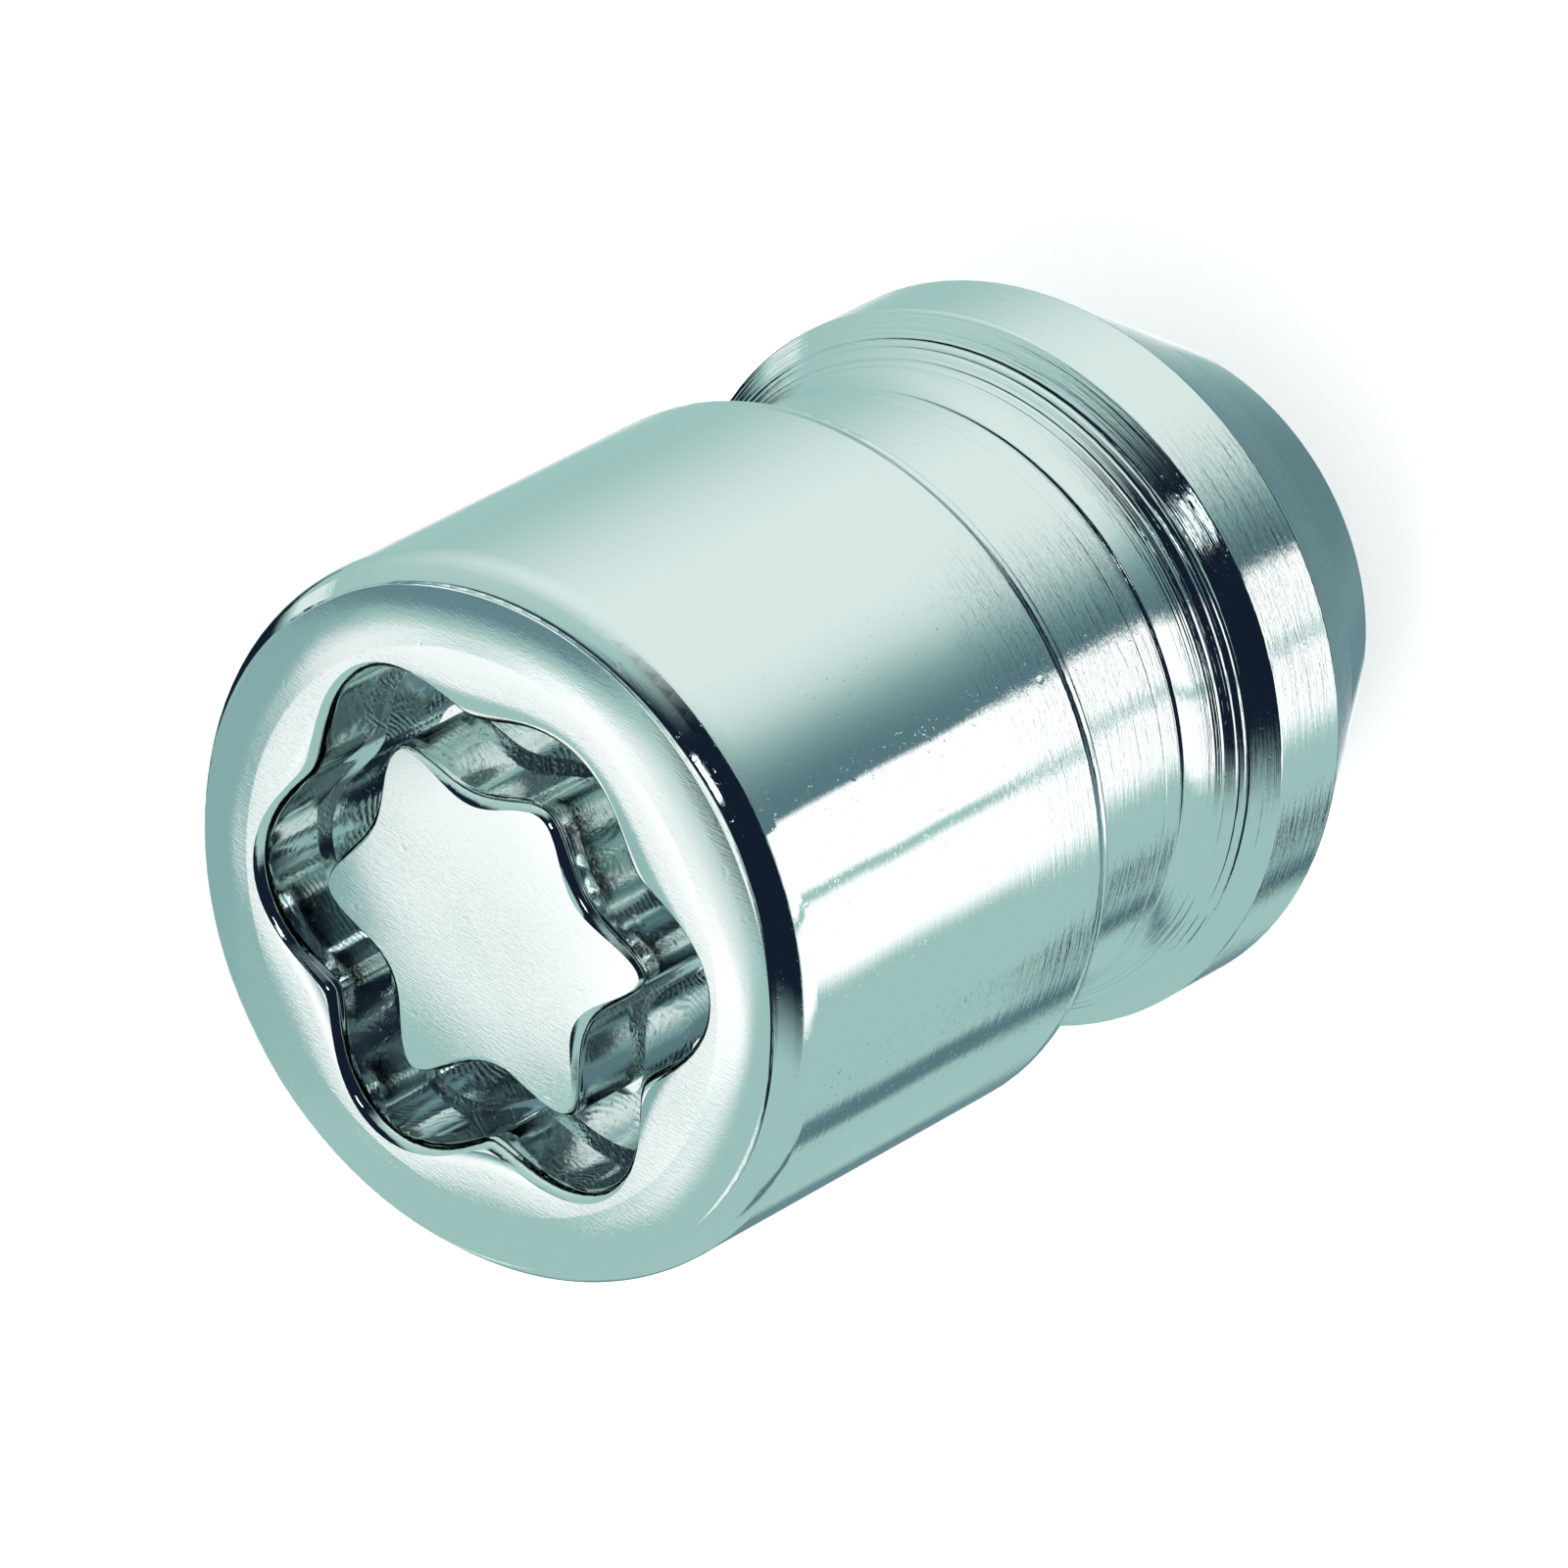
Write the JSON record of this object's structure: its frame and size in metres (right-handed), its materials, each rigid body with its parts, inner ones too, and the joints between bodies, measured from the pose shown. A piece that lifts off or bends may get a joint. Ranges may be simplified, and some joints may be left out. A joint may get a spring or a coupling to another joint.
{
  "type": "locking wheel nut",
  "caption": "Chrome-plated steel locking wheel nut with a cone seat, a waisted neck, a round head and a wavy key groove in its crowned face.",
  "frame": {"origin": "Centre of the seat end, the small ring that the nut stands on.", "axes": "+Z runs along the nut's axis from the seat end to the key face. +X runs through one lobe of the key groove."},
  "size_m": [0.0212, 0.0212, 0.0308],
  "materials": {
    "chrome_plate": "polished, with fine turning marks"
  },
  "bodies": {
    "root": {"wheel_nut": "chrome_plate"}
  },
  "joints": []
}
